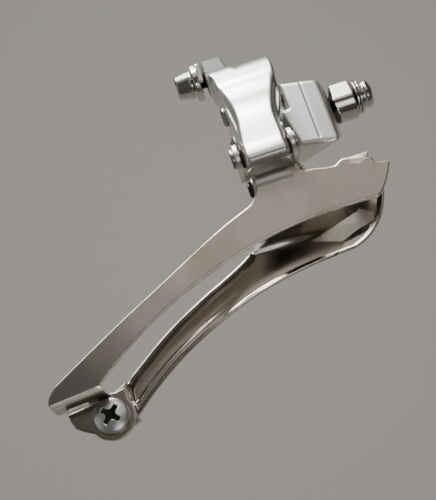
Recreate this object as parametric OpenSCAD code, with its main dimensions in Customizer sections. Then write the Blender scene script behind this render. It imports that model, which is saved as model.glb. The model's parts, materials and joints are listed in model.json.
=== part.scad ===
// Front derailleur, braze-on type: parallelogram linkage over a two-plate chain cage.
// Frame: origin on the mounting-bolt axis at the convex mounting face, +X forward
// along the bolt, +Y inboard, +Z up the seat tube. Millimetres.

/* [Cage] */
// Radius of the outer plate's lower edge
ring_r = 113; // [104:1:120]
// Radius of the inner plate's lower edge
inner_r = 98; // [94:1:104]
// Clear width between the two cage plates
cage_gap = 13.2; // [12.6:0.1:14]
// Thickness of the cage sheet
sheet = 1.2; // [1:0.1:1.4]

/* [Linkage] */
// Radius of the barrel at the outer link's lower end
barrel_r = 3.3; // [3.2:0.05:3.6]
// Diameter of the four pivot pins
pin_d = 4; // [3.6:0.1:4.2]
// Running clearance of a pin in its bush, on the radius
run_gap = 0.05; // [0.03:0.01:0.1]

/* [Body] */
// Radius of the convex mounting face
face_r = 16; // [14:0.5:20]
// Depth of the mounting block from outboard to inboard
block_w = 16; // [15:0.5:17]

/* [Fasteners] */
// Thread diameter of the clamp bolts
bolt_d = 5; // [4.5:0.1:5]
// Thread diameter of the limit screws
limit_d = 3; // [2.5:0.1:3]

/* [Hidden] */

// pivots as [y, z]: P outer link to body, Q outer link to cage, R and S the inner link
P = [-14, -0.5];
Q = [-24, -18.5];
R = P + [10.6, -5];
S = Q + [10.6, -5];
// cable clamp axis on the link's arm
A = [2.5, 22];
// centre of the chainring arcs, [x, z]
C = [-9.8, -151.2];
D = [-10.5, -143.6];
// outer plate faces and inner plate faces across the cage
oy0 = -18.6;
rim_d = 2.4;
oy1 = oy0 + sheet;
iy0 = oy1 + cage_gap;
iy1 = iy0 + sheet;
// tail screw [x, z] and limit screws
T = [-81.2, -70.2];
limit_x = -20;
low_y = 1.5;
high_y = -8.2;
pin_r = pin_d / 2;
bush_r = pin_r + 0.6;
bore_r = pin_r + run_gap;
bolt_r = bolt_d / 2 - 0.05;
limit_r = limit_d / 2;
e = 0.01;

function arc(c, r, a0, a1, n) =
    [for (i = [0:n]) c + r * [cos(a0 + (a1 - a0) * i / n), sin(a0 + (a1 - a0) * i / n)]];

// extrude a drawing made in (y, z) along X
module along_x(x0, x1) {
    translate([x0, 0, 0]) rotate([90, 0, 90]) linear_extrude(x1 - x0) children();
}

// extrude a drawing made in (x, z) along Y
module along_y(y0, y1) {
    translate([0, y1, 0]) rotate([90, 0, 0]) linear_extrude(y1 - y0) children();
}

module rod_x(r, x0, x1, p) {
    translate([x0, p[0], p[1]]) rotate([0, 90, 0]) cylinder(r = r, h = x1 - x0);
}

module cone_x(r0, r1, x0, x1, p) {
    translate([x0, p[0], p[1]]) rotate([0, 90, 0]) cylinder(r1 = r0, r2 = r1, h = x1 - x0);
}

module tube_x(r0, r1, x0, x1, p) {
    difference() {
        rod_x(r1, x0, x1, p);
        rod_x(r0, x0 - 1, x1 + 1, p);
    }
}

module rod_y(r, y0, y1, p) {
    translate([p[0], y1, p[1]]) rotate([90, 0, 0]) cylinder(r = r, h = y1 - y0);
}

module rod_z(r, z0, z1, x, y) {
    translate([x, y, z0]) cylinder(r = r, h = z1 - z0);
}

// ---------------------------------------------------------------- chassis
block_front = [[-12.6, -12.7], [-7, -13.9], [-1.9, -15], [0.5, -14.4], [0.5, 3.6],
    [-1.6, 5.3], [-3.4, 6], [-8, 6.8], [-12.6, 7.8], [-12.6, -0.6], [-15.2, -0.9],
    [-14.3, -5.3]];
block_side = [[-block_w / 2, -14.2], [-7.2, -15.2], [6.6, -15.2], [block_w / 2, -12.6],
    [block_w / 2, 5.4], [6.6, 8.2], [-6.4, 8.2], [-block_w / 2, 7]];

module mount_block() {
    intersection() {
        along_y(-block_w / 2, block_w / 2) polygon(block_front);
        along_x(-16, 1) polygon(block_side);
        translate([-face_r, 0, -20]) cylinder(r = face_r, h = 40);
    }
}

// slanting cut that lifts the inboard part of the block's underside
module underside_cut() {
    translate([-1.6, -block_w / 2, -15]) rotate([0, 0, -36]) rotate([33, 0, 0])
        translate([-30, 0, -20]) cube([60, 40, 20]);
}

module shoulder_outline() {
    polygon([[-5.6, 1.2], [4.5, 1.2], [6.5, -1], [6.5, -9.4], [4.5, -10.4], [-5.6, -8.2]]);
    translate(R) circle(r = 3.4);
}

module roof_outline() {
    polygon([[-10.4, -1.2], [-10.4, 1.2], [4.5, 1.2], [6.5, -1], [6.5, -9.4], [4.5, -10.4],
        [3.3, -10.2], [3.3, -1.2]]);
}

module upper_lug_outline() {
    translate(P) circle(r = 3.8);
    polygon([[-14.6, -4.1], [-14.6, 3.1], [-9, 1.2], [-9, -1.2]]);
}

module limit_boss(y) {
    difference() {
        rod_z(2.9, 1, 3, limit_x, y);
        rod_z(2.1, 1.6, 4, limit_x, y);
    }
}

module body() {
    color("Gainsboro") difference() {
        union() {
            mount_block();
            along_x(-29.5, -27.8) shoulder_outline();
            along_x(-17.1, -12) shoulder_outline();
            along_x(-28, -16.4) roof_outline();
            along_x(-27.6, -24.9) upper_lug_outline();
            along_x(-19.1, -16.4) upper_lug_outline();
            limit_boss(low_y);
            limit_boss(high_y);
        }
        rod_x(bush_r, -28.5, -15, P);
        rod_x(pin_r, -31, -13.6, R);
        rod_z(limit_r + 0.05, -3, 2, limit_x, low_y);
        rod_z(limit_r + 0.05, -3, 2, limit_x, high_y);
        rod_x(bolt_r + 0.1, -11.2, 2, [0, 0]);
        underside_cut();
        // casting pocket behind the mounting block
        translate([-11.4, 3.6, 3.2]) cube([8.4, 6, 2.4]);
        // parting groove down the outboard face
        translate([-6.4, -block_w / 2, 0]) rotate([0, -2.5, 0]) translate([-0.15, -1, -18])
            cube([0.3, 1.3, 34]);
    }
}

module upper_outer_bushes() {
    color("Goldenrod") {
        tube_x(bore_r, bush_r, -27.6, -24.9, P);
        tube_x(bore_r, bush_r, -19.1, -16.4, P);
    }
}

module upper_inner_pin() {
    color("Silver") difference() {
        union() {
            rod_x(pin_r, -30.7, -13.8, R);
            cone_x(pin_r, pin_r - 0.4, -13.8, -13.7, R);
        }
        tube_x(pin_r - 0.4, pin_r + 1, -30.25, -29.5, R);
    }
}

module clip(x, p) {
    difference() {
        rod_x(pin_r + 1.1, x, x + 0.6, p);
        rod_x(pin_r - 0.4, x - 1, x + 1, p);
        translate([x - 1, p[0] - 1, p[1] - 6]) cube([3, 2, 6]);
    }
}

module upper_inner_clip() {
    color("DimGray") clip(-30.15, R);
}

module return_spring() {
    color("SlateGray") {
        for (i = [0:4])
            translate([-23.9 + i * 0.95, P[0], P[1]]) rotate([0, 90, 0])
                rotate_extrude() translate([3, 0]) circle(r = 0.52);
        // leg lying on the roof of the body, and leg along the inside of the link
        translate([-23.9, P[0] + 0.4, P[1] + 2.97]) rotate([-95, 0, 0]) cylinder(r = 0.5, h = 8);
        translate([-20.1, P[0] - 2.97, P[1]]) rotate([173, 0, 0]) cylinder(r = 0.5, h = 8);
    }
}

module limit_screw(y, tip) {
    difference() {
        union() {
            rod_z(limit_r - 0.02, tip, 4, limit_x, y);
            rod_z(2.2, 3.9, 5.4, limit_x, y);
        }
        translate([limit_x - 0.35, y - 1.5, 4.6]) cube([0.7, 3, 1]);
        translate([limit_x - 1.5, y - 0.35, 4.6]) cube([3, 0.7, 1]);
    }
}

module low_limit_screw() {
    color("LightGray") limit_screw(low_y, -4.8);
}

module high_limit_screw() {
    color("LightGray") limit_screw(high_y, -1.9);
}

module limit_screw_sleeves() {
    color("WhiteSmoke") for (y = [low_y, high_y])
        difference() {
            rod_z(2.1, 1.6, 3, limit_x, y);
            rod_z(limit_r, 1, 4, limit_x, y);
        }
}

// ---------------------------------------------------------------- outer link
// side view of the link: hollowed face, round crest, then the inboard edges
face_line = concat(
    [[-26.9, -22], [-27.7, -21.4], [-28, -19.9], [-27.9, -18.2], [-27.1, -16.2], [-25.8, -13.9], [-24.6, -11.6],
        [-23.5, -9], [-22.5, -6.2], [-21.7, -3.2], [-21.1, 0], [-20.8, 3]],
    arc([-14.2, 6.4], 6.6, 172, 86, 9));
back_line = [[-12, 13.2], [-12, 10.4], [-9.7, 8], [-9.4, 2], [-9.7, -2], [-11, -5.5],
    [-14, -9], [-17.4, -13], [-20.1, -18]];

module side_outline() {
    polygon(concat(face_line, back_line));
}

// front view of the broad face, waisted, as [x, z]
module face_outline() {
    polygon([[-29.2, -24], [-29.1, -20], [-28.3, -15], [-27.5, -10], [-27.3, -7],
        [-27.6, -3], [-28.4, 0.5], [-29.6, 4], [-29.8, 8], [-29.8, 16], [-14.6, 16],
        [-13.6, 10.5], [-13.6, 6], [-14.6, 2.5], [-16.2, -1.5], [-17.4, -5], [-17.9, -9],
        [-17.9, -24]]);
}

// the two cheeks behind the face stay wide down past the upper pivot
module cheek_outline() {
    polygon([[-29.2, -24], [-29.2, -8], [-29.8, -2], [-29.8, 16], [-14.6, 16], [-13.6, 10.5],
        [-14, 3.5], [-14, -2], [-15.6, -7], [-17.6, -12], [-17.9, -24]]);
}

module arm_outline() {
    polygon([[-17, 12.2], [-10.4, 17.5], [-1.6, 25.6], [A[0], A[1]], [5.8, 17.7],
        [-2, 13.4], [-9.5, 7], [-12, 9]]);
    translate(A) circle(r = 5.4);
}

module outer_link() {
    color("WhiteSmoke") difference() {
        union() {
            intersection() {
                along_x(-31, -12) side_outline();
                union() {
                    along_y(-30, -19.2) face_outline();
                    along_y(-19.3, -5) cheek_outline();
                }
            }
            rod_x(barrel_r, -29.2, -17.9, Q);
            along_x(-31.1, -24.8) arm_outline();
        }
        // hollow between the cheeks
        along_x(-28.1, -15.9) polygon([[-18.3, -4.9], [-18.6, -1], [-18.5, 4], [-17, 8],
            [-14, 9.9], [-8, 9.9], [-8, -20], [-16.2, -20], [-19.6, -12]]);
        rod_x(pin_r, -32, -12, P);
        rod_x(bush_r, -31, -16, Q);
        rod_x(bolt_r + 0.1, -32, -24, A);
        // cable groove across the boss
        translate([-31.1, A[0] + 3, A[1]]) rotate([12, 0, 0]) cylinder(r = 0.65, h = 16, center = true);
    }
}

module upper_outer_pin() {
    color("Silver") difference() {
        union() {
            rod_x(pin_r, -30.4, -13.3, P);
            cone_x(2.2, 2.8, -30.9, -30.4, P);
            rod_x(2.8, -30.4, -29.8, P);
        }
        rod_x(0.9, -31.5, -30.3, P);
        tube_x(pin_r - 0.4, pin_r + 1, -13.8, -13.55, P);
    }
}

module upper_outer_clip() {
    color("DimGray") difference() {
        rod_x(pin_r + 1, -13.8, -13.55, P);
        rod_x(pin_r - 0.4, -15, -12, P);
        translate([-15, P[0] - 1, P[1] - 6]) cube([3, 2, 6]);
    }
}

module lower_outer_bushes() {
    color("Goldenrod") {
        tube_x(bore_r, bush_r, -29.2, -24.5, Q);
        tube_x(bore_r, bush_r + 0.6, -30.1, -29.2, Q);
        tube_x(bore_r, bush_r, -22.5, -17.9, Q);
        tube_x(bore_r, bush_r + 0.6, -17.9, -17.1, Q);
    }
}

module cable_bolt() {
    color("Silver") difference() {
        union() {
            cone_x(3.55, 4.3, -40, -35.8, A);
            rod_x(4.3, -35.8, -35, A);
            rod_x(bolt_r, -36, -26.4, A);
        }
        translate([-41, A[0], A[1]]) rotate([0, 90, 0]) cylinder(r = 2.85, h = 3.4, $fn = 6);
    }
}

module cable_washer() {
    color("Silver") difference() {
        union() {
            along_x(-34.8, -32.7) intersection() {
                translate(A) circle(r = 5.6);
                translate([A[0] - 5.6, A[1] - 5.1]) square([11.2, 10.2]);
            }
            translate([-33.2, A[0] - 5.4, A[1] - 3]) cube([1.5, 1.1, 6]);
        }
        rod_x(bolt_r + 0.1, -36, -31, A);
        translate([-32.7, A[0] + 3, A[1]]) rotate([12, 0, 0]) cylinder(r = 0.5, h = 16, center = true);
    }
}

// ---------------------------------------------------------------- inner link
module inner_link() {
    color("Gainsboro") difference() {
        union() {
            rod_x(3.4, -27.5, -17.4, R);
            rod_x(3.4, -27.5, -17.4, S);
            along_x(-27.4, -17.5) polygon([R + [-2.3, -1], R + [2.3, -1], S + [2.1, 0.4],
                S + [-1.9, 0.4]]);
            // rocker whose two ends meet the limit screws
            along_x(-21.8, -18.2) polygon([R + [-5.9, -1.6], R + [-5.9, 0.3], R + [-2, 1.6],
                R + [2, 0.5], R + [5.7, 0.5], R + [5.7, -1.4], R + [2, -3]]);
        }
        translate([-24.7, -20, -18]) cube([4, 16, 6.5]);
        rod_x(bush_r, -30, -16, R);
        rod_x(bush_r, -30, -16, S);
    }
}

module inner_link_bushes() {
    color("Goldenrod") {
        tube_x(bore_r, bush_r, -27.5, -23.4, R);
        tube_x(bore_r, bush_r, -21.6, -17.4, R);
        tube_x(pin_r + 0.15, bush_r, -27.5, -23.4, S);
        tube_x(pin_r + 0.15, bush_r, -21.6, -17.4, S);
    }
}

// ---------------------------------------------------------------- chain cage
outer_outline = concat(
    [[-94.8, -65], [-95, -64.2], [-94.2, -62.3], [-92.4, -60.4], [-83, -55.2],
        [-70.7, -48.6], [-58.6, -42.5], [-46, -36], [-39, -32.7]],
    arc([-34.4, -25], 5.5, -68, 0, 5),
    [[-28.9, -20], [-28.4, -19.6], [-16.8, -19.6], [-16.3, -20]],
    arc([-14, -23], 2.3, 180, 250, 3),
    [[-12.6, -25.4], [-7.4, -26.4], [-5.2, -25.4], [2.2, -27.2], [2.9, -28.8], [5.8, -29.8],
        [6.3, -30.6], [4.6, -33.8], [2.4, -36.9], [0.9, -38.2], [-1, -39.5], [-9, -48],
        [-70, -66], [-81.6, -64.1]]);

module outer_flat() {
    difference() {
        polygon(outer_outline);
        translate(C) circle(r = ring_r);
    }
}

module ear_outline() {
    translate(Q) circle(r = 3.5);
    polygon([Q + [-1.1, -3.3], [oy1, -22.9], [oy1, -20.6], Q + [1.4, 3.2]]);
}

module lug_outline() {
    translate(T) circle(r = 6.1);
    polygon([[-92.1, -66.3], [-91.8, -68.2], [-91, -70.3], [-89.4, -71.5], [-85.8, -73.6],
        T, [-76, -71], [-76.2, -63.9], [-83.6, -65.4]]);
}

module outer_cage_plate() {
    color("RosyBrown") difference() {
        union() {
            along_y(oy0, oy1) outer_flat();
            // ears folded outboard from the sides of the neck
            along_x(-31.7, -30.4) ear_outline();
            along_x(-16.9, -15.6) ear_outline();
            translate([-30.5, oy0, -22.4]) cube([2, sheet, 1.9]);
            // bridge tab folded inboard over the nose
            translate([-5.2, oy0, -26.6]) cube([7.2, 10.4, sheet]);
            // shelf and lug at the tail
            along_y(oy0, -10.3) polygon([[-94.4, -65.9], [-94.6, -64.8], [-81.2, -63.8],
                [-80.4, -65.1]]);
            along_y(-11.5, -10.3) lug_outline();
        }
        rod_x(pin_r, -34, -14, Q);
        rod_y(bolt_r + 0.15, -13, -9, T);
        rod_z(1.2, -28, -24, -3.4, -11.2);
        rod_z(1.2, -28, -24, 0.2, -11.2);
        // drain slot in the shelf at the fold
        translate([-91.6, -13.4, -67]) cube([5.6, 1.8, 3]);
    }
}

// upper edge of the panel from the tail to the foot of the roof, and the nose below it
rim_top = [[-77, -65], [-76.8, -62.8], [-75.4, -60.7], [-71.4, -57.9], [-65.3, -53.6],
    [-59.4, -50], [-53.5, -46.9], [-48.8, -44.6], [-44.2, -42.6], [-38.8, -40],
    [-35.8, -38.2], [-32.6, -34.6]];
rim_nose = [[5, -28.6], [4.7, -31.6], [3.4, -35.2], [1.7, -38.5], [-0.7, -41.4], [-4, -44],
    [-7.8, -45.6]];
rim_w = 1.1;

inner_outline = concat(rim_top, [[-30.4, -29.6], [-29.3, -26.5], [4.2, -26.5]], rim_nose,
    [[-12, -52], [-60, -70], [-77, -74]]);

// the same line moved sideways by d, to its right
function moved(line, d) = [for (i = [0:len(line) - 1])
    let (a = line[max(i - 1, 0)], b = line[min(i + 1, len(line) - 1)], t = (b - a) / norm(b - a))
    line[i] + d * [t[1], -t[0]]];
function turned(line) = [for (i = [len(line) - 1:-1:0]) line[i]];

module inner_flat() {
    difference() {
        polygon(inner_outline);
        translate(D) circle(r = inner_r);
    }
}

// walls round the panel: a stamped tray, open outboard
module tray_wall() {
    polygon(concat(rim_top, turned(moved(rim_top, rim_w))));
    polygon(concat(rim_nose, turned(moved(rim_nose, rim_w))));
    intersection() {
        polygon(inner_outline);
        difference() {
            translate(D) circle(r = inner_r + rim_w);
            translate(D) circle(r = inner_r);
        }
    }
}

module inner_lug_outline() {
    translate(S) circle(r = 2.9);
    polygon([S + [-2.6, -1.2], [-16.4, -27.5], [-7, -27.5], S + [2.4, 1.6]]);
}

module inner_cage_plate() {
    color("RosyBrown") difference() {
        union() {
            along_y(iy0, iy1) inner_flat();
            along_y(iy0 - rim_d, iy1 - 0.2) tray_wall();
            // pressed step that brings the upper half of the panel outboard
            along_y(iy0 - 0.9, iy0 + 0.1) polygon([[-29.3, -26.5], [-30.4, -29.6],
                [-32.2, -34.6], [-35.4, -38.2], [-8, -38.7], [0.6, -37.8], [2.8, -34],
                [3.9, -30], [4, -26.5]]);
            // roof over the chain, with the two lugs of the lower inner pivot
            translate([-29.3, -16.6, -28.5]) cube([13.6, 16.6 + iy1, sheet]);
            along_x(-29.3, -28.1) inner_lug_outline();
            along_x(-16.9, -15.7) inner_lug_outline();
            // roof at the nose, under the bridge tab of the outer plate
            translate([-5.2, oy1, -27.8]) cube([7.2, iy1 - oy1, sheet]);
            // closed tail: end wall and the flange behind the lug
            translate([-77, -9.6, -71.8]) cube([sheet, iy1 + 9.6, 9.6]);
            along_y(-10.2, -9) union() {
                translate(T) circle(r = 5.6);
                polygon([T + [-1, -5.5], [-74.6, -73.2], [-74.8, -72], [-75.8, -70.9],
                    [-75.8, -62.4], T + [0, 5.4]]);
            }
        }
        rod_x(pin_r, -31, -14, S);
        rod_y(bolt_r + 0.15, -11, -8, T);
        rod_z(1.2, -28, -24, -3.4, -11.2);
        rod_z(1.2, -28, -24, 0.2, -11.2);
    }
}

module bridge_rivets() {
    color("Silver") for (x = [-3.4, 0.2]) {
        rod_z(1.2, -28, -25.2, x, -11.2);
        rod_z(1.65, -25.4, -24.8, x, -11.2);
        rod_z(1.6, -28.3, -27.8, x, -11.2);
    }
}

module lower_outer_pin() {
    color("Silver") {
        rod_x(pin_r, -32.2, -15.2, Q);
        rod_x(2.7, -32.6, -31.7, Q);
        rod_x(2.4, -15.6, -15, Q);
    }
}

module lower_inner_pin() {
    color("Silver") difference() {
        rod_x(pin_r, -30.4, -14.6, S);
        tube_x(pin_r - 0.4, pin_r + 1, -29.9, -29.3, S);
        tube_x(pin_r - 0.4, pin_r + 1, -15.7, -15.1, S);
    }
}

module lower_inner_clips() {
    color("DimGray") {
        clip(-29.9, S);
        clip(-15.7, S);
    }
}

module tail_screw() {
    color("Gainsboro") difference() {
        union() {
            rod_y(bolt_r, -12, -5.2, T);
            rod_y(4.6, -12.9, -11.5, T);
            translate([T[0], -12.9, T[1]]) rotate([90, 0, 0]) cylinder(r1 = 4.6, r2 = 3.3, h = 1.2);
        }
        translate([T[0] - 0.6, -15, T[1] - 2.6]) cube([1.2, 3, 5.2]);
        translate([T[0] - 2.6, -15, T[1] - 0.6]) cube([5.2, 3, 1.2]);
    }
}

module tail_nut() {
    color("Silver") difference() {
        translate([T[0], -5.9, T[1]]) rotate([90, 30, 0]) cylinder(r = 4.6, h = 3.1, $fn = 6);
        rod_y(bolt_r, -10, -4, T);
    }
}

// ---------------------------------------------------------------- frame clamp
module mounting_bolt() {
    color("Silver") difference() {
        union() {
            rod_x(bolt_r, -9.5, 9, [0, 0]);
            cone_x(5, 4.4, 8.2, 9.3, [0, 0]);
            cone_x(3.6, 4, 9.2, 10.8, [0, 0]);
            cone_x(4, 3.2, 10.8, 12.2, [0, 0]);
        }
        translate([9.6, 0, 0]) rotate([0, 90, 0]) cylinder(r = 2.3, h = 3.4, $fn = 6);
    }
}

module mounting_washer() {
    color("Silver") tube_x(bolt_r + 0.1, 4.9, 7.3, 8.1, [0, 0]);
}

// round washer with a flat on its upper outboard side, hollowed to suit the body's face
module radius_washer() {
    color("Silver") difference() {
        intersection() {
            rod_x(5.8, 0.2, 7.1, [0, 0]);
            rotate([-36, 0, 0]) translate([0, -4.2, -8]) cube([8, 16, 16]);
            translate([-20.9, 0, -8]) cylinder(r = 28, h = 16);
        }
        translate([-face_r + 1.2, 0, -8]) cylinder(r = face_r + 0.2, h = 16);
        rod_x(bolt_r + 0.1, -2, 9, [0, 0]);
    }
}

body();
outer_link();
inner_link();
outer_cage_plate();
inner_cage_plate();
upper_outer_pin();
lower_outer_pin();
upper_inner_pin();
lower_inner_pin();
upper_outer_clip();
upper_inner_clip();
lower_inner_clips();
upper_outer_bushes();
lower_outer_bushes();
inner_link_bushes();
return_spring();
low_limit_screw();
high_limit_screw();
limit_screw_sleeves();
cable_bolt();
cable_washer();
mounting_bolt();
mounting_washer();
radius_washer();
tail_screw();
tail_nut();
bridge_rivets();
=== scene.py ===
import json
import math
import bpy
import numpy as np
from mathutils import Matrix, Vector


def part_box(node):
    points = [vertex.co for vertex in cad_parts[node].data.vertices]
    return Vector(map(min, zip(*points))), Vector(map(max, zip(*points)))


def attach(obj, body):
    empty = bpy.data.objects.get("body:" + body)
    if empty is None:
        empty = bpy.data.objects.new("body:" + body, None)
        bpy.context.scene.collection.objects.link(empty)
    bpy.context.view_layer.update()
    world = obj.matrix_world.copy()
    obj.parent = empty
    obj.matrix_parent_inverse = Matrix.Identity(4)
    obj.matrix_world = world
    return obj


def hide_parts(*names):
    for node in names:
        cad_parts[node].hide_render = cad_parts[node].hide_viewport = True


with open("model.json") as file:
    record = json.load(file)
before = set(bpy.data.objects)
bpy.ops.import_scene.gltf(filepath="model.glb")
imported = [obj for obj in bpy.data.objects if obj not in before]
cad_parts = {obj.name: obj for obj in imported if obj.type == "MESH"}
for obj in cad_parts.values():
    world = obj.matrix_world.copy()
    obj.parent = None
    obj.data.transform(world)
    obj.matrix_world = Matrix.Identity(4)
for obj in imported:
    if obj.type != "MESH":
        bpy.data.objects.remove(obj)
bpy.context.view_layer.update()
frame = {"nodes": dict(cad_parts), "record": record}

# ------------------------------ camera
# The camera looks up by ELEVATION and is turned by ROLL. FOCAL is its focal length over the
# picture's longer side.
ELEVATION, ROLL, FOCAL = math.radians(22), math.radians(18), 2.184
EYE = Vector((-0.0430, -0.2776, -0.1437))
SENSOR_WIDTH, CLIP_START, CLIP_END = 36, 0.01, 10
MM = 0.001


def make_camera():
    view = Vector((0, math.cos(ELEVATION), math.sin(ELEVATION)))
    right = Vector((1, 0, 0))
    up = Vector((0, -math.sin(ELEVATION), math.cos(ELEVATION)))
    ex = math.cos(ROLL) * right - math.sin(ROLL) * up
    ey = math.sin(ROLL) * right + math.cos(ROLL) * up
    camera = bpy.data.objects.new("camera", bpy.data.cameras.new("camera"))
    bpy.context.scene.collection.objects.link(camera)
    camera.matrix_world = Matrix((
        (ex.x, ey.x, -view.x, EYE.x),
        (ex.y, ey.y, -view.y, EYE.y),
        (ex.z, ey.z, -view.z, EYE.z),
        (0, 0, 0, 1)))
    camera.data.sensor_width = SENSOR_WIDTH
    camera.data.lens = SENSOR_WIDTH * FOCAL
    camera.data.clip_start, camera.data.clip_end = CLIP_START, CLIP_END
    bpy.context.scene.camera = camera


# ------------------------------ solid shapes as distance functions
# Each shape is a function of x, y, z in millimetres that is negative inside.
def arc(centre, r, a0, a1, n):
    angles = np.radians(np.linspace(a0, a1, n + 1))
    return [(centre[0] + r * math.cos(a), centre[1] + r * math.sin(a)) for a in angles]


def curve(points, n=4):
    """A smooth line through the points."""
    p = [points[0], *points, points[-1]]
    out = []
    for a, b, c, d in zip(p, p[1:], p[2:], p[3:]):
        a, b, c, d = (np.array(q, float) for q in (a, b, c, d))
        for t in np.arange(n) / n:
            q = 0.5 * (2 * b + (c - a) * t + (2 * a - 5 * b + 4 * c - d) * t ** 2
                       + (3 * b - a - 3 * c + d) * t ** 3)
            out.append(tuple(q))
    return out + [tuple(points[-1])]


def smin(a, b, k):
    """Smaller of two distances, with the corner between them rounded over k."""
    h = np.clip(0.5 + 0.5 * (b - a) / k, 0, 1)
    return b + (a - b) * h - k * h * (1 - h)


def smax(a, b, k):
    return -smin(-a, -b, k)


def slab(t, t0, t1):
    return abs(t - (t0 + t1) / 2) - (t1 - t0) / 2


def step(t, t0, t1):
    h = np.clip((t - t0) / (t1 - t0), 0, 1)
    return h * h * (3 - 2 * h)


def segments(u, v, points):
    """Squared distance from (u, v) to a run of line segments."""
    best = 1e9
    for (ax, ay), (bx, by) in zip(points, points[1:]):
        ex, ey = bx - ax, by - ay
        t = np.clip(((u - ax) * ex + (v - ay) * ey) / (ex * ex + ey * ey + 1e-12), 0, 1)
        best = np.minimum(best, (u - ax - ex * t) ** 2 + (v - ay - ey * t) ** 2)
    return best


def polygon(points):
    """Signed distance to a closed outline, as a function of two coordinates."""
    points = [tuple(p) for p in points]
    ring = points + points[:1]

    def distance(u, v):
        inside = np.zeros(np.broadcast(u, v).shape, bool)
        for (ax, ay), (bx, by) in zip(ring, ring[1:]):
            if ay != by:
                crossing = (bx - ax) * (v - ay) / (by - ay) + ax
                inside = inside ^ (((ay > v) != (by > v)) & (u < crossing))
        return np.sqrt(segments(u, v, ring)) * np.where(inside, -1, 1)
    return distance


def capsule(u, v, a, b, ra, rb):
    ex, ey = b[0] - a[0], b[1] - a[1]
    t = np.clip(((u - a[0]) * ex + (v - a[1]) * ey) / (ex * ex + ey * ey), 0, 1)
    return np.hypot(u - a[0] - ex * t, v - a[1] - ey * t) - (ra + (rb - ra) * t)


CORNERS = [(i, j, k) for i in (0, 1) for j in (0, 1) for k in (0, 1)]
EDGES = [(a, b) for a in CORNERS for b in CORNERS
         if sum(b) - sum(a) == 1 and sum(abs(p - q) for p, q in zip(a, b)) == 1]


GRADIENT_STEP = 0.03
NEWTON_STEPS, NEWTON_SHARE = 3, 0.9


def net(shape, low, high, cell):
    """Vertices (mm), quads and normals of the shape's surface, on a grid of the given cell."""
    axes = [np.arange(a, b + cell, cell) for a, b in zip(low, high)]
    v = shape(axes[0][:, None, None], axes[1][None, :, None], axes[2][None, None, :])
    v = np.broadcast_to(v, [len(a) for a in axes]).astype(np.float32)
    inside = v < 0
    n = [s - 1 for s in v.shape]

    def corner(data, c):
        return data[c[0]:c[0] + n[0], c[1]:c[1] + n[1], c[2]:c[2] + n[2]]
    count = sum(corner(inside, c).astype(np.int8) for c in CORNERS)
    mixed = (count > 0) & (count < 8)
    cells = np.argwhere(mixed)
    index = np.full(n, -1, np.int64)
    index[mixed] = np.arange(len(cells))
    total, hits = np.zeros((len(cells), 3)), np.zeros(len(cells))
    for a, b in EDGES:
        va, vb = corner(v, a)[mixed], corner(v, b)[mixed]
        cut = (va < 0) != (vb < 0)
        t = np.where(cut, va / np.where(cut, va - vb, 1), 0)
        point = np.array(a) + t[:, None] * (np.array(b) - np.array(a))
        total += np.where(cut[:, None], point, 0)
        hits += cut
    points = np.array([a[0] for a in axes]) + (cells + total / hits[:, None]) * cell
    quads = []
    for axis in range(3):
        e, g = [i for i in range(3) if i != axis]
        first = np.take(inside, range(0, n[axis]), axis)
        second = np.take(inside, range(1, n[axis] + 1), axis)
        edge = np.argwhere(first != second)
        keep = (edge[:, e] > 0) & (edge[:, g] > 0) & (edge[:, e] < n[e]) & (edge[:, g] < n[g])
        edge = edge[keep]
        sign = first[tuple(edge.T)]
        if axis == 1:
            sign = ~sign
        ring = []
        for de, dg in ((1, 1), (0, 1), (0, 0), (1, 0)):
            c = edge.copy()
            c[:, e] -= de
            c[:, g] -= dg
            ring.append(index[tuple(c.T)])
        ring = np.array(ring).T
        ring[~sign] = ring[~sign][:, ::-1]
        quads.append(ring)

    def gradient(p, h=GRADIENT_STEP):
        g = []
        for i in range(3):
            up, down = p.copy(), p.copy()
            up[:, i] += h
            down[:, i] -= h
            g.append(shape(*up.T) - shape(*down.T))
        g = np.array(g).T / (2 * h)
        return g / np.maximum(np.linalg.norm(g, axis=1), 1e-6)[:, None]
    for _ in range(NEWTON_STEPS):
        move = np.clip(shape(*points.T), -cell / 2, cell / 2)
        points = points - NEWTON_SHARE * move[:, None] * gradient(points)
    return points, np.concatenate(quads), gradient(points)


def piece(name, shape, low, high, cell, body, node, slot, marks=None):
    """A new mesh that stands for a CAD node. marks gives each point's share of the marked colour,
    which stands for wear, painted highlights and painted shade.
    """
    points, quads, normals = net(shape, low, high, cell)
    mesh = bpy.data.meshes.new(name)
    mesh.from_pydata((points * MM).tolist(), [], quads.tolist())
    mesh.polygons.foreach_set("use_smooth", [True] * len(mesh.polygons))
    mesh.normals_split_custom_set_from_vertices(normals.tolist())
    layer = mesh.attributes.new("wear_light_share", "FLOAT", "POINT")
    wear_and_light = np.zeros(len(points)) if marks is None else marks(points, normals)
    layer.data.foreach_set("value", np.asarray(wear_and_light, np.float32))
    obj = bpy.data.objects.new(name, mesh)
    bpy.context.scene.collection.objects.link(obj)
    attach(obj, body)
    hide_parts(node)
    mesh.materials.append(MATERIALS[slot])
    return obj


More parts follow.
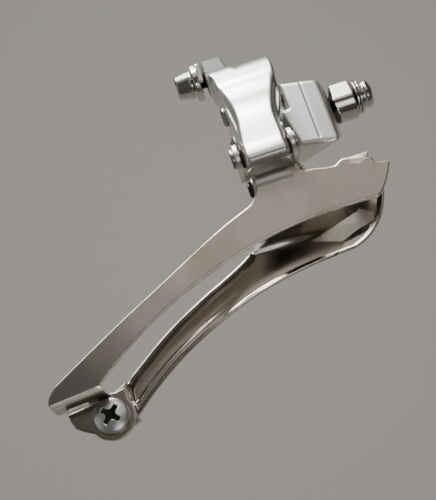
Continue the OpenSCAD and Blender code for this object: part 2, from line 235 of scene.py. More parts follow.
# ------------------------------ materials
class Nodes:
    """A material's node tree with short calls."""

    def __init__(self, name):
        self.material = bpy.data.materials.new(name)
        self.material.use_nodes = True
        self.tree = self.material.node_tree
        self.shader = self.tree.nodes["Principled BSDF"]

    def add(self, kind, **values):
        node = self.tree.nodes.new(kind)
        for key, value in values.items():
            if hasattr(node, key):
                setattr(node, key, value)
            else:
                node.inputs[key.replace("_", " ")].default_value = value
        return node

    def link(self, a, b):
        self.tree.links.new(a, b)

    def noise(self, scale, stretch=(1, 1, 1), detail=3.0, turn=(0, 0, 0)):
        place = self.add("ShaderNodeTexCoord")
        mapping = self.add("ShaderNodeMapping")
        mapping.inputs["Scale"].default_value = stretch
        mapping.inputs["Rotation"].default_value = turn
        texture = self.add("ShaderNodeTexNoise", Scale=scale, Detail=detail)
        self.link(place.outputs["Object"], mapping.inputs["Vector"])
        self.link(mapping.outputs["Vector"], texture.inputs["Vector"])
        return texture.outputs["Fac"]

    def span(self, value, a0, a1, b0, b1):
        node = self.add("ShaderNodeMapRange")
        for key, number in zip(("From Min", "From Max", "To Min", "To Max"), (a0, a1, b0, b1)):
            node.inputs[key].default_value = number
        self.link(value, node.inputs["Value"])
        return node.outputs["Result"]

    def mix(self, share, a, b):
        node = self.add("ShaderNodeMix", data_type="RGBA")
        for socket, value in ((node.inputs[0], share), (node.inputs[6], a), (node.inputs[7], b)):
            if hasattr(value, "links"):
                self.link(value, socket)
            else:
                socket.default_value = value if isinstance(value, float) else (*value, 1)
        return node.outputs[2]

    def math(self, operation, a, b):
        node = self.add("ShaderNodeMath", operation=operation)
        for socket, value in zip(node.inputs, (a, b)):
            if hasattr(value, "links"):
                self.link(value, socket)
            else:
                socket.default_value = value
        return node.outputs[0]

    def bump(self, layers):
        last = None
        for height, strength, distance in layers:
            node = self.add("ShaderNodeBump", Strength=strength, Distance=distance)
            self.link(height, node.inputs["Height"])
            if last is not None:
                self.link(last, node.inputs["Normal"])
            last = node.outputs["Normal"]
        self.link(last, self.shader.inputs["Normal"])


def metal(name, colour, rough, spread=0.05, scratch=0.10, stain=0.12, wear_and_light=None, film=None,
          grain=(900, 1, 1)):
    """Bare or plated metal: cloudy stains, fine scratches, a film, and marked points in their own
    colour, which stand for wear, painted highlights and painted shade.
    """
    n = Nodes(name)
    n.shader.inputs["Metallic"].default_value = 1.0
    clouds = n.noise(90, detail=5.0)
    fine = n.noise(900, detail=4.0)
    lines = n.noise(1.0, stretch=grain, detail=2.0, turn=(0.2, 0.5, 0.3))
    scratches = n.noise(1.0, stretch=(160, 5200, 5600), detail=2.0, turn=(0.4, 0.9, 0.6))
    others = n.noise(1.0, stretch=(4800, 140, 5200), detail=2.0, turn=(0.1, 0.7, 0.2))
    light, dark = colour, tuple(c * (1 - 2 * stain) for c in colour)
    base = n.mix(n.span(clouds, 0.35, 0.7, 0, 1), light, dark)
    # Marked points take the given colour: real wear on some parts, painted highlights and painted
    # shade on others, as each part's marks set.
    if wear_and_light:
        attribute = n.add("ShaderNodeAttribute", attribute_name="wear_light_share")
        patches = n.math("ADD", attribute.outputs["Fac"], n.noise(420, detail=4.0))
        share = n.span(patches, 0.98, 1.12, 0, 1)
        base = n.mix(share, base, wear_and_light)
    if film:
        base = n.mix(n.span(n.noise(55, detail=6.0), 0.50, 0.66, 0, 0.8), base, film)
    n.link(base, n.shader.inputs["Base Color"])
    both = n.math("ADD", n.span(scratches, 0.62, 0.72, 0, 1), n.span(others, 0.64, 0.74, 0, 1))
    rough_map = n.math("ADD", n.span(clouds, 0.3, 0.7, rough - spread, rough + spread),
                       n.math("MULTIPLY", both, 0.4 * scratch))
    if wear_and_light:
        rough_map = n.math("ADD", rough_map, n.math("MULTIPLY", share, 0.18))
    n.link(rough_map, n.shader.inputs["Roughness"])
    n.bump([(both, scratch, 0.00001), (fine, 0.10, 0.00001), (lines, 0.06, 0.00001)])
    return n.material


def plastic(name, colour, rough):
    n = Nodes(name)
    clouds = n.noise(400)
    n.link(n.mix(n.span(clouds, 0.3, 0.7, 0, 1), colour, tuple(0.8 * c for c in colour)),
           n.shader.inputs["Base Color"])
    n.link(n.span(clouds, 0.3, 0.7, rough - 0.08, rough + 0.08), n.shader.inputs["Roughness"])
    n.bump([(clouds, 0.15, 0.00003)])
    return n.material


# Near-black painted shade for bolt threads, the concave washer's hollow face and the tail screw's
# cross.
PAINTED_SHADE = (0.045, 0.04, 0.035)
MATERIALS = {
    "cast_body": metal("satin_casting", (0.86, 0.86, 0.85), 0.40, stain=0.04),
    # The link's marked arm gets a dark grey: as-cast tone, partly painted shade.
    "polished_link": metal("polished_alloy", (0.82, 0.82, 0.81), 0.28, stain=0.02,
                           wear_and_light=(0.36, 0.37, 0.36)),
    # The cage's marked points get cream: worn plating in places, painted edge highlights and
    # painted reflections elsewhere.
    "cage_steel": metal("plated_sheet", (0.54, 0.495, 0.445), 0.16, scratch=0.12, stain=0.08,
                        wear_and_light=(0.95, 0.91, 0.82), film=(0.44, 0.385, 0.32)),
    "pin_steel": metal("pin_steel", (0.45, 0.43, 0.41), 0.26),
    "dark_steel": metal("oiled_steel", (0.10, 0.095, 0.09), 0.35),
    # Near-black bushes: painted shade for the dark gaps they sit in.
    "bush_bronze": metal("bronze", (0.085, 0.07, 0.05), 0.4),
    "spring_steel": metal("drawn_wire", (0.22, 0.21, 0.20), 0.3),
    "zinc_steel": metal("bright_zinc", (0.86, 0.90, 0.89), 0.30, stain=0.08, wear_and_light=PAINTED_SHADE),
    "nylon": plastic("nylon", (0.75, 0.73, 0.66), 0.5),
    "bolt_steel": metal("turned_plate", (0.72, 0.70, 0.67), 0.13, stain=0.08, wear_and_light=PAINTED_SHADE),
}

# ------------------------------ linkage points, as (y, z)
# P and Q are the outer link's upper and lower pivots, R and S the inner link's, and A is the
# cable bolt's axis. PIN, BUSH and BOLT are radii.
P, Q, A = (-14, -0.5), (-24, -18.5), (2.5, 22)
R = (P[0] + 10.6, P[1] - 5)
S = (Q[0] + 10.6, Q[1] - 5)
PIN, BUSH, BOLT = 2.0, 2.6, 2.45

FACE_LINE = [(-25.0, -21.7), (-26.6, -22.4), (-27.8, -22.7), (-28.4, -22.1), (-28.5, -20.6),
             (-28, -18),
             (-27.1, -15.9), (-25.8, -13.7), (-24.6, -11.5),
             (-23.5, -9), (-22.6, -6.2), (-22, -3.2), (-21.6, 0), (-21.1, 2.8), (-20.5, 5.2),
             (-19.6, 7.6),
             (-18.2, 9.9), (-16.3, 11.8), (-14.4, 12.8), (-12.6, 13.1)]
BACK_LINE = [(-12, 13.1), (-12, 10.4), (-9.7, 8), (-9.4, 2), (-9.7, -2), (-11, -5.5), (-14, -9),
             (-17.4, -13), (-20.1, -18), (-21.4, -20.2), (-23, -21.4)]


def outer_link():
    side = polygon(curve(FACE_LINE) + BACK_LINE)
    cheek_line = [(y + 1.6 * float(step(6 - z, 0, 6)), z + 0.5 * (z < -20)) for y, z in FACE_LINE]
    cheek_side = polygon(curve(cheek_line) + BACK_LINE)
    face = polygon(curve([(-29.3, -26), (-29.2, -20), (-28.7, -15), (-28.1, -10), (-27.9, -7),
                          (-28.1, -3),
                          (-28.8, 0.5), (-29.6, 4), (-29.8, 8), (-29.8, 18)])
                   + curve([(-14.8, 18), (-13.9, 12), (-13.6, 8.5), (-13.8, 5.5), (-14.7, 2),
                            (-15.9, -1.5),
                            (-16.9, -5), (-17.5, -9), (-17.7, -14), (-17.8, -20), (-17.8, -26)]))
    cheek = polygon([(-29.2, -26), (-29.2, -8), (-29.8, -2), (-29.8, 18), (-14.6, 18),
                     (-13.6, 10.5),
                     (-14, 3.5), (-14, -2), (-15.6, -7), (-17.6, -12), (-17.9, -26)])
    hollow = polygon([(-18.3, -4.9), (-18.6, -1), (-18.5, 4), (-17, 8), (-14, 9.9), (-8, 9.9),
                      (-8, -20),
                      (-16.2, -20), (-19.6, -12)])

    def shape(x, y, z):
        d = smax(side(y, z), face(x, z), 1.3)
        d = smin(d, smax(cheek_side(y, z), cheek(x, z), 0.8), 1.1)
        barrel = smax(np.hypot(y - Q[0], z - Q[1]) - 3.3, slab(x, -29.2, -17.9), 0.5)
        d = smin(d, barrel, 0.5)
        arm = smax(capsule(y, z, (-13, 9), A, 4.3, 5.4), slab(x, -31.1, -24.8), 1.1)
        d = smin(d, arm, 2.6)
        d = smax(d, -np.maximum(hollow(y, z), slab(x, -28.1, -15.9)), 0.5)
        d = smax(d, -(np.hypot(y - P[0], z - P[1]) - PIN), 0.2)
        d = smax(d, -(np.hypot(y - Q[0], z - Q[1]) - BUSH), 0.2)
        d = smax(d, -(np.hypot(y - A[0], z - A[1]) - BOLT - 0.1), 0.4)
        groove = np.hypot(x + 31.1, y - A[0] - 3 + 0.21 * (z - A[1])) - 0.65
        return smax(d, -groove, 0.2)
    return shape


def outer_link_marks(p, n):
    """The arm above z 14 and its end facing +Z get a darker, rougher colour: partly an as-cast
    finish, partly painted shade.
    """
    x, y, z = p.T
    return 0.95 * step(z, 13.2, 14.4) * step(x, -24, -25.2) + 0.95 * (z > 16.5) * (n[:, 2] > 0.2)


def body():
    front = polygon([(-12.6, -12.7), (-7, -13.9), (-1.9, -15), (0.5, -14.4), (0.5, 3.6),
                     (-1.6, 5.3),
                     (-3.4, 6), (-8, 6.8), (-12.6, 7.8), (-12.6, -0.6), (-15.2, -0.9),
                     (-14.3, -5.3)])
    side = polygon([(-8, -14.4), (-7.6, -15.2), (6.6, -15.2), (8, -12.6), (8, 5.4), (6.6, 8.2),
                    (-7.4, 8.2),
                    (-8, 7.6)])
    shoulder = polygon([(-5.6, 1.2), (4.5, 1.2), (6.5, -1), (6.5, -9.4), (4.5, -10.4),
                        (-5.6, -8.2)])
    roof = polygon([(-10.4, -1.2), (-10.4, 1.2), (4.5, 1.2), (6.5, -1), (6.5, -9.4), (4.5, -10.4),
                    (3.3, -10.2), (3.3, -1.2)])
    lug = polygon([(-14.6, -4.1), (-14.6, 3.1), (-9, 1.2), (-9, -1.2)])
    turn, lift = math.radians(36), math.radians(33)

    def shape(x, y, z):
        bent = y - 0.07 * np.maximum(0, x + 6.8)
        d = smax(front(x, z), side(bent, z), 1.5)
        d = smax(d, np.hypot(x + 16, y) - 16, 0.9)
        # slanting cut under the inboard part
        dx, dy, dz = x + 1.6, y + 8, z + 15
        across = math.sin(turn) * dx + math.cos(turn) * dy
        cut = np.maximum(-(math.cos(lift) * across + math.sin(lift) * dz),
                         math.cos(lift) * dz - math.sin(lift) * across)
        d = smax(d, -cut, 1.4)
        around = np.hypot(y - R[0], z - R[1])
        plate = np.minimum(shoulder(y, z), around - 3.4)
        d = smin(d, smax(plate, slab(x, -17.1, -12), 0.5), 1.0)
        frame_part = smax(plate, slab(x, -29.5, -27.8), 0.5)
        frame_part = smin(frame_part, smax(roof(y, z), slab(x, -28, -16.4), 0.5), 0.6)
        ears = np.minimum(lug(y, z), np.hypot(y - P[0], z - P[1]) - 3.8)
        ears = smax(ears, np.minimum(slab(x, -27.6, -24.9), slab(x, -19.1, -16.4)), 0.4)
        d = smin(d, smin(frame_part, ears, 0.6), 0.6)
        for screw_y in (1.5, -8.2):
            r = np.hypot(x + 20, y - screw_y)
            d = smin(d, smax(r - 2.9, slab(z, 1, 3), 0.4), 0.4)
            d = smax(d, -np.maximum(r - 2.1, slab(z, 1.6, 4)), 0.15)
            d = smax(d, -np.maximum(r - 1.55, slab(z, -3, 2)), 0.1)
        d = smax(d, -np.maximum(np.hypot(y - P[0], z - P[1]) - BUSH, slab(x, -29, -15)), 0.15)
        d = smax(d, -np.maximum(around - PIN, slab(x, -31, -13.6)), 0.15)
        d = smax(d, -np.maximum(np.hypot(y, z) - BOLT - 0.15, slab(x, -11.2, 2)), 0.3)
        pocket = np.maximum(slab(x, -11.4, -3), np.maximum(slab(y, 3.6, 9.6), slab(z, 3.2, 5.6)))
        d = smax(d, -pocket, 0.5)
        # parting groove down the outboard face
        groove = np.hypot(x + 6.8, y + 8.05) - 0.27
        return smax(d, -np.maximum(groove, -z - 12.3), 0.22)
    return shape


# ------------------------------ chain cage
# C and D are the middles of the outer and inner plates' lower arcs, and T is the tail screw's
# axis, as (x, z). SHEET is the outer plate's two faces, as y.
C, D, T = (-9.8, -151.2), (-10.5, -143.6), (-81.2, -70.2)
OUTER_R, INNER_R = 113, 98
SHEET = (-18.6, -17.4)
OUTLINE = (curve([(-94.8, -65), (-95, -64.2), (-94.2, -62.3), (-92.4, -60.4)], 3)
           + curve([(-92.4, -60.4), (-83, -55.2), (-70.7, -48.6), (-58.6, -42.5), (-46, -36),
                    (-39, -32.7)], 3)
           + arc((-34.4, -25), 5.5, -68, 0, 6) + [(-28.9, -20), (-28.4, -19.6), (-16.8, -19.6),
                                                  (-16.3, -20)]
           + arc((-14, -23), 2.3, 180, 250, 4)
           + curve([(-12.6, -25.4), (-10, -26.1), (-7.4, -26.4), (-5.2, -25.4), (-1.6, -26.1),
                    (2.2, -27.2),
                    (2.9, -28.8), (5.8, -29.8), (6.3, -30.6), (4.6, -33.8), (2.4, -36.9),
                    (0.9, -38.2),
                    (-1, -39.5)], 4)
           + [(-9, -48), (-70, -66), (-81.6, -64.1)])
outer_outline = polygon(OUTLINE)
ear_outline = polygon([(Q[0] - 1.1, Q[1] - 3.3), (-17.4, -22.9), (-17.4, -20.6),
                       (Q[0] + 1.4, Q[1] + 3.2)])
lug_outline = polygon([(-92.1, -66.3), (-91.8, -68.2), (-91, -70.3), (-89.4, -71.5), (-85.8, -73.6),
                       T,
                       (-76, -71), (-76.2, -63.9), (-83.6, -65.4)])
shelf_outline = polygon([(-94.4, -65.9), (-94.6, -64.8), (-81.2, -63.8), (-80.4, -65.1)])


def outer_flat(x, z):
    return smax(outer_outline(x, z), OUTER_R - np.hypot(x - C[0], z - C[1]), 0.4)


def ear_flat(y, z):
    return np.minimum(ear_outline(y, z), np.hypot(y - Q[0], z - Q[1]) - 3.5)


def lug_flat(x, z):
    return np.minimum(lug_outline(x, z), np.hypot(x - T[0], z - T[1]) - 6.1)


def rivet_holes(d, x, y, z):
    """The shape with the bridge rivets' holes through it."""
    for hole_x in (-3.4, 0.2):
        hole = np.maximum(np.hypot(x - hole_x, y + 11.2) - 1.2, slab(z, -28, -24))
        d = smax(d, -hole, 0.1)
    return d


def outer_plate():
    def shape(x, y, z):
        lean = 0.12 * np.maximum(0, z + 21.6) * step(x, -36, -30) * step(-x, 12, 15)
        d = smax(outer_flat(x, z), slab(y - lean, *SHEET), 0.6)
        ears = smax(ear_flat(y, z), np.minimum(slab(x, -31.7, -30.4), slab(x, -16.9, -15.6)), 0.2)
        d = smin(d, ears, 0.8)
        root = np.maximum(slab(x, -31, -28.5), np.maximum(slab(y, *SHEET), slab(z, -22.4, -20.5)))
        d = smin(d, root, 0.6)
        tab = smax(-18.3 - y, slab(z, -26.6, -25.4), 0.3)
        tab = smax(smax(slab(x, -5.2, 2), y + 8.2, 1.2), tab, 0.3)
        d = smin(d, tab, 0.6)
        shelf = smax(shelf_outline(x, z), slab(y, SHEET[0], -10.3), 0.4)
        d = smin(d, shelf, 0.35)
        d = smin(d, smax(lug_flat(x, z), slab(y, -11.5, -10.3), 0.4), 0.7)
        slot = np.maximum(slab(x, -91.6, -86), np.maximum(slab(y, -13.4, -11.6), slab(z, -67, -64)))
        d = smax(d, -slot, 0.3)
        d = smax(d, -(np.hypot(y - Q[0], z - Q[1]) - PIN), 0.15)
        hole = np.maximum(np.hypot(x - T[0], z - T[1]) - BOLT - 0.15, slab(y, -13, -9))
        d = smax(d, -hole, 0.2)
        return rivet_holes(d, x, y, z)
    return shape


def outer_plate_marks(p, n):
    x, y, z = p.T
    # Cream band along the plate's outline and the lug's edge: painted edge highlight on the rounded
    # edges, partly worn plating.
    flat = y < -17.2
    edge = np.where(flat, step(outer_flat(x, z), -0.5, -0.15), 0)
    lug = (y > -12.2) & (z < -60)
    edge = np.maximum(edge, np.where(lug, step(lug_flat(x, z), -0.4, -0.1), 0))
    # The ears' rounded edges, picked by their facing, get painted highlights in cream.
    ears = ((x < -30.2) & (x > -32) | (x > -17.1) & (x < -15.4)) & (y < -18.9) & (z > -23.4)
    across = abs(n[:, 0])
    edge = np.maximum(edge, np.where(ears, 0.35 + 0.6 * (across > 0.3) * (across < 0.9), 0))
    # Cream band across the neck above z -23: a painted highlight, the reflection of the light
    # below.
    neck = 0.8 * step(z, -23.0, -22.0) * (x > -29.2) * (x < -15) * (y < -16)
    tab = 0.8 * np.exp(-((x + 1.5) / 4.2) ** 2 - ((z + 27) / 1.3) ** 2)
    root = 0.6 * np.exp(-((x + 18.5) / 4.0) ** 2 - ((z + 23.6) / 1.2) ** 2)
    return np.clip(edge + neck + tab + root, 0, 1)


RIM_TOP = [(-77, -67.5), (-77, -65), (-76.6, -62.8), (-75.2, -60.7), (-71.4, -57.9), (-65.3, -53.6),
           (-59.4, -50), (-53.5, -46.9), (-48.8, -44.6), (-44.2, -42.6), (-38.8, -40),
           (-35.8, -38.2)]
RIM_END = [(-77, -71.6), (-77, -67.5)]
SLOPE = [(-35.8, -38.2), (-32.6, -34.6), (-30.4, -29.6), (-29.3, -26.5), (4.2, -26.5), (5, -28.6)]
RIM_NOSE = [(5, -28.6), (4.7, -31.6), (3.4, -35.2), (1.7, -38.5), (-0.7, -41.4), (-4, -44),
            (-7.8, -45.6)]
inner_outline = polygon([(-77, -74),
                         (-77, -67.5)] + curve(RIM_TOP)[1:] + SLOPE[1:-1] + curve(RIM_NOSE)
                        + [(-12, -52), (-60, -70)])
step_outline = polygon([(-29.3, -20), (-30.4, -29.6), (-32.2, -34.6), (-35.4, -38.2), (-8, -38.7),
                        (-1, -37.6), (1.2, -33), (2.2, -28), (2.2, -20)])
RIMS = curve(RIM_TOP)
NOSE = curve(RIM_NOSE)
PANEL_Y = -3.6


def inner_flat(x, z):
    return smax(inner_outline(x, z), INNER_R - np.hypot(x - D[0], z - D[1]), 0.3)


def inner_height(x, z):
    """Middle of the inner plate's sheet across the cage, as y."""
    top = np.sqrt(np.minimum(segments(x, z, RIM_END + RIMS), segments(x, z, NOSE)))
    wall = 2.4 * step(1.9 - top, 0, 1.7)
    low = np.hypot(x - D[0], z - D[1]) - INNER_R
    bead = 0.85 * (1 - (2 * low / 3 - 0.8) ** 2) * np.interp(x, [-60, -38], [1, 0])
    lip = np.interp(x, [-56, -36, -14, -7], [0, 0.9, 1.5, 2.4]) * step(1.7 - low, 0, 1.5)
    wall = smax(wall, lip, 0.3)
    raised = 0.9 * step(-step_outline(x, z), -0.3, 2.2) * step(-x, 10, 30)
    return PANEL_Y - smax(smax(bead, 0.0, 0.3), wall, 0.5) - raised


def inner_plate():
    lug = polygon([(S[0] - 2.6, S[1] - 1.2), (-16.4, -27.5), (-7, -27.5), (S[0] + 2.4, S[1] + 1.6)])
    tail = polygon([(T[0] - 1, T[1] - 5.5), (-74.6, -73.2), (-74.8, -72), (-75.8, -70.9),
                    (-75.8, -62.4),
                    (T[0], T[1] + 5.4)])

    def shape(x, y, z):
        middle = inner_height(x, z)
        h = 0.1
        slope_x = (inner_height(x + h, z) - middle) / h
        slope_z = (inner_height(x, z + h) - middle) / h
        sheet = (abs(y - middle)) / np.sqrt(1 + slope_x ** 2 + slope_z ** 2) - 0.55
        d = smax(sheet, inner_flat(x, z), 0.5)
        roof = smax(slab(y, -16.6, -3.2), slab(z, -28.5, -27.3), 0.3)
        roof = smax(slab(x, -29.3, -15.7), roof, 0.3)
        d = smin(d, roof, 0.8)
        ears = np.minimum(lug(y, z), np.hypot(y - S[0], z - S[1]) - 2.9)
        ears = smax(ears, np.minimum(slab(x, -29.3, -28.1), slab(x, -16.9, -15.7)), 0.3)
        d = smin(d, ears, 0.7)
        nose = smax(slab(x, -5.2, 2), smax(slab(y, -17.4, -3.2), slab(z, -27.8, -26.6), 0.3), 0.3)
        d = smin(d, nose, 0.7)
        wall = smax(slab(x, -77, -75.8), smax(slab(y, -9.6, -3), slab(z, -71.8, -62.2), 0.8), 0.3)
        d = smin(d, wall, 0.8)
        flange = np.minimum(tail(x, z), np.hypot(x - T[0], z - T[1]) - 5.6)
        d = smin(d, smax(flange, slab(y, -10.2, -9), 0.3), 0.5)
        d = smax(d, -(np.hypot(y - S[0], z - S[1]) - PIN), 0.1)
        hole = np.maximum(np.hypot(x - T[0], z - T[1]) - BOLT - 0.15, slab(y, -11, -8))
        d = smax(d, -hole, 0.2)
        return rivet_holes(d, x, y, z)
    return shape


# Two cream patches near the nose: painted reflections of the light on the panel, partly worn
# plating.
patch_outline = polygon([(-4.1, -34.7), (-3.6, -34), (0.2, -36.6), (-0.4, -39.1), (-5.9, -40.5),
                         (-10.5, -42.3), (-17.5, -40.1), (-18.7, -39)])
bright_outline = polygon([(-14.6, -46.8), (-10.5, -42.3), (-2.5, -40.7), (1, -39), (-2, -44),
                          (-8, -47)])


def inner_plate_marks(p, n):
    x, y, z = p.T
    # Cream rim along the outline and a lighter lower edge: painted edge highlights, partly worn
    # plating.
    edge = step(inner_flat(x, z), -0.75, -0.3) * (y < -5)
    low = np.hypot(x - D[0], z - D[1]) - INNER_R
    edge = edge * step(low, 0.6, 1.4) + 0.35 * (1 - step(low, 0.3, 1.0)) * (y < -3)
    # Painted reflections near the nose, partly worn plating.
    reflections_and_rubbing = 0.82 * step(-patch_outline(x, z), 0, 0.5) + 0.78 * step(-bright_outline(x, z), 0, 0.5)
    return np.clip(edge + reflections_and_rubbing * (y < -3.2), 0, 1)


# ------------------------------ hardware
THREAD_DEPTH = 0.42


def thread(r, t, angle, major, pitch=0.8):
    """Distance to a threaded shaft, with t along it and angle round it. The last factor keeps
    the distance from being overstated on the thread's slopes."""
    phase = t / pitch - angle / (2 * math.pi)
    wave = abs(phase - np.round(phase)) * 2
    return (r - major + THREAD_DEPTH * wave) * 0.8


def hexagon(u, v, across):
    slanted = np.maximum(abs(0.5 * u + 0.866 * v), abs(0.5 * u - 0.866 * v))
    return np.maximum(abs(u), slanted) - across / 2


def cable_bolt():
    profile = polygon([(-40, 0), (-40, 3.1), (-39.6, 3.55), (-35.9, 4.2), (-35.9, 4.0),
                       (-35.7, 4.3), (-35.05, 4.3),
                       (-35.05, 0)])

    def shape(x, y, z):
        u, v = y - A[0], z - A[1]
        r = np.hypot(u, v)
        d = smax(profile(x, r), r - 4.3, 0.2)
        shaft = smax(thread(r, x, np.arctan2(v, u), BOLT), slab(x, -36, -26.4), 0.2)
        d = smin(d, shaft, 0.2)
        return smax(d, -np.maximum(hexagon(u, v, 4.9), slab(x, -41, -37.6)), 0.15)
    return shape


def cable_washer():
    def shape(x, y, z):
        u, v = y - A[0], z - A[1]
        r = np.hypot(u, v)
        d = smax(smax(r - 5.6, slab(v, -5.1, 5.1), 0.5), slab(x, -34.8, -32.7), 0.5)
        lip = smax(slab(x, -33.2, -31.7), smax(slab(u, -5.4, -4.3), slab(v, -3, 3), 0.3), 0.3)
        d = smin(d, lip, 0.3)
        d = smax(d, -(r - BOLT - 0.1), 0.2)
        return smax(d, -(np.hypot(x + 32.7, u - 3 + 0.21 * v) - 0.5), 0.2)
    return shape


def mounting_bolt():
    flange = polygon([(8.2, 0), (8.2, 4.8), (8.4, 5), (8.7, 5), (9.1, 4.4), (9.4, 3.75), (9.8, 3.7),
                      (10.3, 3.95), (10.9, 4), (11.6, 3.7), (12, 3.3), (12.2, 2.9), (12.2, 0)])

    def shape(x, y, z):
        r = np.hypot(y, z)
        shaft = smax(thread(r, x, np.arctan2(z, y), BOLT), slab(x, -9.5, 8.4), 0.3)
        d = smin(flange(x, r), shaft, 0.2)
        return smax(d, -np.maximum(hexagon(y, z, 4.1), slab(x, 9.6, 13)), 0.2)
    return shape


def mounting_washer():
    def shape(x, y, z):
        r = np.hypot(y, z)
        return smax(smax(r - 4.9, slab(x, 7.3, 8.1), 0.35), -(r - BOLT - 0.1), 0.2)
    return shape


def radius_washer():
    turn = math.radians(-31)

    def shape(x, y, z):
        r = np.hypot(y, z)
        flat = -(math.cos(turn) * y + math.sin(turn) * z) - 4.2
        ends = smax(slab(x, 0.2, 7.1), np.hypot(x + 20.9, y) - 28, 0.4)
        d = smax(smax(r - 5.8, flat, 0.5), ends, 0.5)
        ridges = 0.12 * np.cos(2 * math.pi * z / 0.8) * (r < 5.2)
        d = smax(d, -(np.hypot(x + 14.8, y) - 16.2) + ridges, 0.2)
        return smax(d, -(r - BOLT - 0.1), 0.3)
    return shape


def tail_screw():
    def shape(x, y, z):
        u, v = x - T[0], z - T[1]
        r = np.hypot(u, v)
        dome = np.hypot(r, y + 4.9) - 9.15
        d = smax(smax(r - 4.6, slab(y, -14.1, -11.5), 0.3), dome, 0.5)
        shaft = smax(thread(r, y, np.arctan2(v, u), BOLT), slab(y, -12, -5.2), 0.2)
        d = smin(d, shaft, 0.15)
        a, b = (u + v) * 0.7071, (v - u) * 0.7071
        depth = -12.3 - 0.45 * r
        cross = np.minimum(np.maximum(abs(a) - 0.62, abs(b) - 2.9),
                           np.maximum(abs(b) - 0.62, abs(a) - 2.9))
        cross = smin(cross, r - 1.25, 0.5)
        return smax(d, -np.maximum(cross, y - depth), 0.15)
    return shape


def thread_painted_shade(low, high, middle):
    """Painted shade on a thread between two places along X."""
    def marks(p, n):
        r = np.hypot(p[:, 1] - middle[0], p[:, 2] - middle[1])
        return 0.9 * (p[:, 0] > low) * (p[:, 0] < high) * (r < 2.6)
    return marks


def tail_screw_marks(p, n):
    """Painted shade in the cross, below the head's dome."""
    x, y, z = p.T
    r = np.hypot(x - T[0], z - T[1])
    return (r < 3.1) & (np.hypot(r, y + 4.9) < 9.0)


def washer_marks(p, n):
    """Painted shade in the concave face."""
    x, y, z = p.T
    return 0.9 * (np.hypot(x + 14.8, y) < 16.5) * (n[:, 0] < 0)


def return_spring():
    """Close coils round the upper outer pivot, with a leg at each end."""
    wire, coil, turns, pitch, sides, per_turn = 0.5, 3.0, 4.25, 0.98, 10, 28
    line = [Vector((-24.0, P[0] + 8.2, P[1] + 2.3)), Vector((-24.0, P[0] + 4, P[1] + 2.7))]
    steps = int(per_turn * turns)
    for i in range(steps + 1):
        angle = math.radians(80) + 2 * math.pi * turns * i / steps
        line.append(Vector((-24.0 + pitch * turns * i / steps, P[0] + coil * math.cos(angle),
                            P[1] + coil * math.sin(angle))))
    end = line[-1]
    line.append(end + Vector((0, 0.2, -4)))
    line.append(end + Vector((0, 0.9, -7.5)))
    vertices, faces = [], []
    for i, point in enumerate(line):
        ahead = (line[min(i + 1, len(line) - 1)] - line[max(i - 1, 0)]).normalized()
        side = ahead.cross(Vector((1, 0, 0))).normalized()
        other = ahead.cross(side)
        for k in range(sides):
            a = 2 * math.pi * k / sides
            vertices.append((point + wire * (math.cos(a) * side + math.sin(a) * other)) * MM)
    for i in range(len(line) - 1):
        for k in range(sides):
            a, b = i * sides + k, i * sides + (k + 1) % sides
            faces.append((a, b, b + sides, a + sides))
    faces.append(tuple(range(sides))[::-1])
    faces.append(tuple((len(line) - 1) * sides + k for k in range(sides)))
    mesh = bpy.data.meshes.new("spring_coil")
    mesh.from_pydata(vertices, [], faces)
    mesh.polygons.foreach_set("use_smooth", [True] * len(faces))
    obj = bpy.data.objects.new("spring_coil", mesh)
    bpy.context.scene.collection.objects.link(obj)
    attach(obj, "chassis")
    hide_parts("return_spring")
    mesh.materials.append(MATERIALS["spring_steel"])


# ------------------------------ floor and light
# The world's soft lights: a direction, the angles from it in degrees over which the light fades
# from full to nothing, and a colour.
LOBES = [
    ((0, -1, 0), 0, 180, (0.085, 0.08, 0.072)),
    ((0.30, -0.85, 0.43), 22.8, 26, (0.52, 0.485, 0.43)),
    ((-0.1, -0.65, 0.75), 5, 36, (0.20, 0.22, 0.27)),
    ((-0.12, -0.14, 1), 13, 28, (6.0, 6.0, 5.9)),
    ((0.22, -0.75, -0.60), 6, 17, (1.9, 1.9, 2.0)),
    ((-1, -0.4, 0.1), 10, 40, (0.30, 0.30, 0.30)),
]


FLOOR_HALF, FLOOR_MIDDLE, FLOOR_FACING = 2.5, (-0.04, 0.40, -0.0126), (0, -0.988, 0.15)
FLOOR_COLOUR, FLOOR_ROUGHNESS = (0.41, 0.395, 0.355, 1), 0.7
KEY_PLACE, KEY_TARGET = Vector((-0.06, -0.32, 0.42)), Vector((-0.035, -0.01, -0.025))
KEY_SIZE, KEY_POWER, KEY_COLOUR = 0.16, 2.2, (1, 0.98, 0.95)


def make_floor():
    """A plain pale floor, 0.4 m behind the part."""
    mesh = bpy.data.meshes.new("floor")
    s = FLOOR_HALF
    mesh.from_pydata([(-s, -s, 0), (s, -s, 0), (s, s, 0), (-s, s, 0)], [], [(0, 1, 2, 3)])
    obj = bpy.data.objects.new("floor", mesh)
    bpy.context.scene.collection.objects.link(obj)
    facing = Vector(FLOOR_FACING).to_track_quat("Z", "Y").to_matrix().to_4x4()
    obj.matrix_world = Matrix.Translation(FLOOR_MIDDLE) @ facing
    n = Nodes("floor")
    n.shader.inputs["Base Color"].default_value = FLOOR_COLOUR
    n.shader.inputs["Roughness"].default_value = FLOOR_ROUGHNESS
    mesh.materials.append(n.material)


def make_lamp():
    light = bpy.data.lights.new("key", "AREA")
    light.size, light.energy, light.color = KEY_SIZE, KEY_POWER, KEY_COLOUR
    obj = bpy.data.objects.new("key", light)
    bpy.context.scene.collection.objects.link(obj)
    obj.location = KEY_PLACE
    obj.rotation_mode = "QUATERNION"
    obj.rotation_quaternion = (KEY_TARGET - KEY_PLACE).to_track_quat("-Z", "Y")


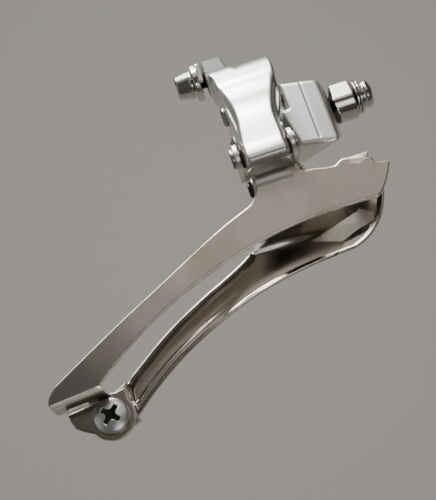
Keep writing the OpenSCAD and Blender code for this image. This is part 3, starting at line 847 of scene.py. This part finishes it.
def make_light():
    """A dim room with a bright ceiling and weaker soft lights round it, and one key lamp."""
    world = bpy.data.worlds.new("world")
    bpy.context.scene.world = world
    world.use_nodes = True
    tree = world.node_tree
    place = tree.nodes.new("ShaderNodeTexCoord").outputs["Generated"]

    def lobe(direction, inner, outer, colour):
        dot = tree.nodes.new("ShaderNodeVectorMath")
        dot.operation = "DOT_PRODUCT"
        dot.inputs[1].default_value = Vector(direction).normalized()
        span = tree.nodes.new("ShaderNodeMapRange")
        span.interpolation_type = "SMOOTHSTEP"
        span.inputs["From Min"].default_value = math.cos(math.radians(outer))
        span.inputs["From Max"].default_value = math.cos(math.radians(inner))
        tint = tree.nodes.new("ShaderNodeVectorMath")
        tint.operation = "SCALE"
        tint.inputs[0].default_value = colour
        tree.links.new(place, dot.inputs[0])
        tree.links.new(dot.outputs["Value"], span.inputs["Value"])
        tree.links.new(span.outputs["Result"], tint.inputs["Scale"])
        return tint.outputs[0]
    total = None
    for row in LOBES:
        part = lobe(*row)
        if total is not None:
            add = tree.nodes.new("ShaderNodeVectorMath")
            tree.links.new(total, add.inputs[0])
            tree.links.new(part, add.inputs[1])
            part = add.outputs[0]
        total = part
    tree.links.new(total, tree.nodes["Background"].inputs["Color"])
    tree.nodes["Background"].inputs["Strength"].default_value = 1.0
    make_lamp()


# ------------------------------ the assembly
def around(node, margin=1.2):
    low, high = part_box(node)
    return [1000 * v - margin for v in low], [1000 * v + margin for v in high]


# name, shape, grid cell in mm, body, CAD node, material slot, marked points (wear, painted
# highlights, painted shade)
SHAPES = [
    ("link_forging", outer_link, 0.28, "outer_arm", "outer_link", "polished_link",
     outer_link_marks),
    ("body_casting", body, 0.34, "chassis", "body", "cast_body", None),
    ("outer_plate", outer_plate, 0.25, "cage", "outer_cage_plate", "cage_steel", outer_plate_marks),
    ("inner_plate", inner_plate, 0.25, "cage", "inner_cage_plate", "cage_steel", inner_plate_marks),
    ("wire_clamp_bolt", cable_bolt, 0.17, "wire_bolt", "cable_bolt", "bolt_steel",
     thread_painted_shade(-35, -20, A)),
    ("wire_clamp_washer", cable_washer, 0.2, "wire_washer", "cable_washer", "bolt_steel", None),
    ("frame_bolt", mounting_bolt, 0.17, "clamp_bolt", "mounting_bolt", "bolt_steel",
     thread_painted_shade(-12, 7.5, (0, 0))),
    ("frame_bolt_washer", mounting_washer, 0.18, "clamp_bolt", "mounting_washer", "bolt_steel",
     None),
    ("concave_washer", radius_washer, 0.2, "clamp_block", "radius_washer", "bolt_steel",
     washer_marks),
    ("cage_screw", tail_screw, 0.15, "cage", "tail_screw", "zinc_steel", tail_screw_marks),
]

make_camera()
make_floor()
make_light()
slots = {row["node"]: row["material_slot"] for row in frame["record"]["subparts"]}
for node, obj in frame["nodes"].items():
    obj.data.materials.clear()
    obj.data.materials.append(MATERIALS[slots[node]])
for name, shape, cell, rides, node, slot, marks in SHAPES:
    low, high = around(node)
    piece(name, shape(), low, high, cell, rides, node, slot, marks)
return_spring()
REBUILT = [row[4] for row in SHAPES] + ["return_spring"]
WELD, BEVEL, BEVEL_SEGMENTS = 0.000002, 0.00015, 2
# The inner pins' ends show in a shaded gap, so they get the near-black steel as painted shade.
for node in ("upper_inner_pin", "lower_inner_pin"):
    frame["nodes"][node].data.materials[0] = MATERIALS["dark_steel"]
for node, obj in frame["nodes"].items():
    if node not in REBUILT:
        weld = obj.modifiers.new("weld", "WELD")
        weld.merge_threshold = WELD
        bevel = obj.modifiers.new("bevel", "BEVEL")
        bevel.width, bevel.segments, bevel.limit_method = BEVEL, BEVEL_SEGMENTS, "ANGLE"
        bevel.harden_normals = True
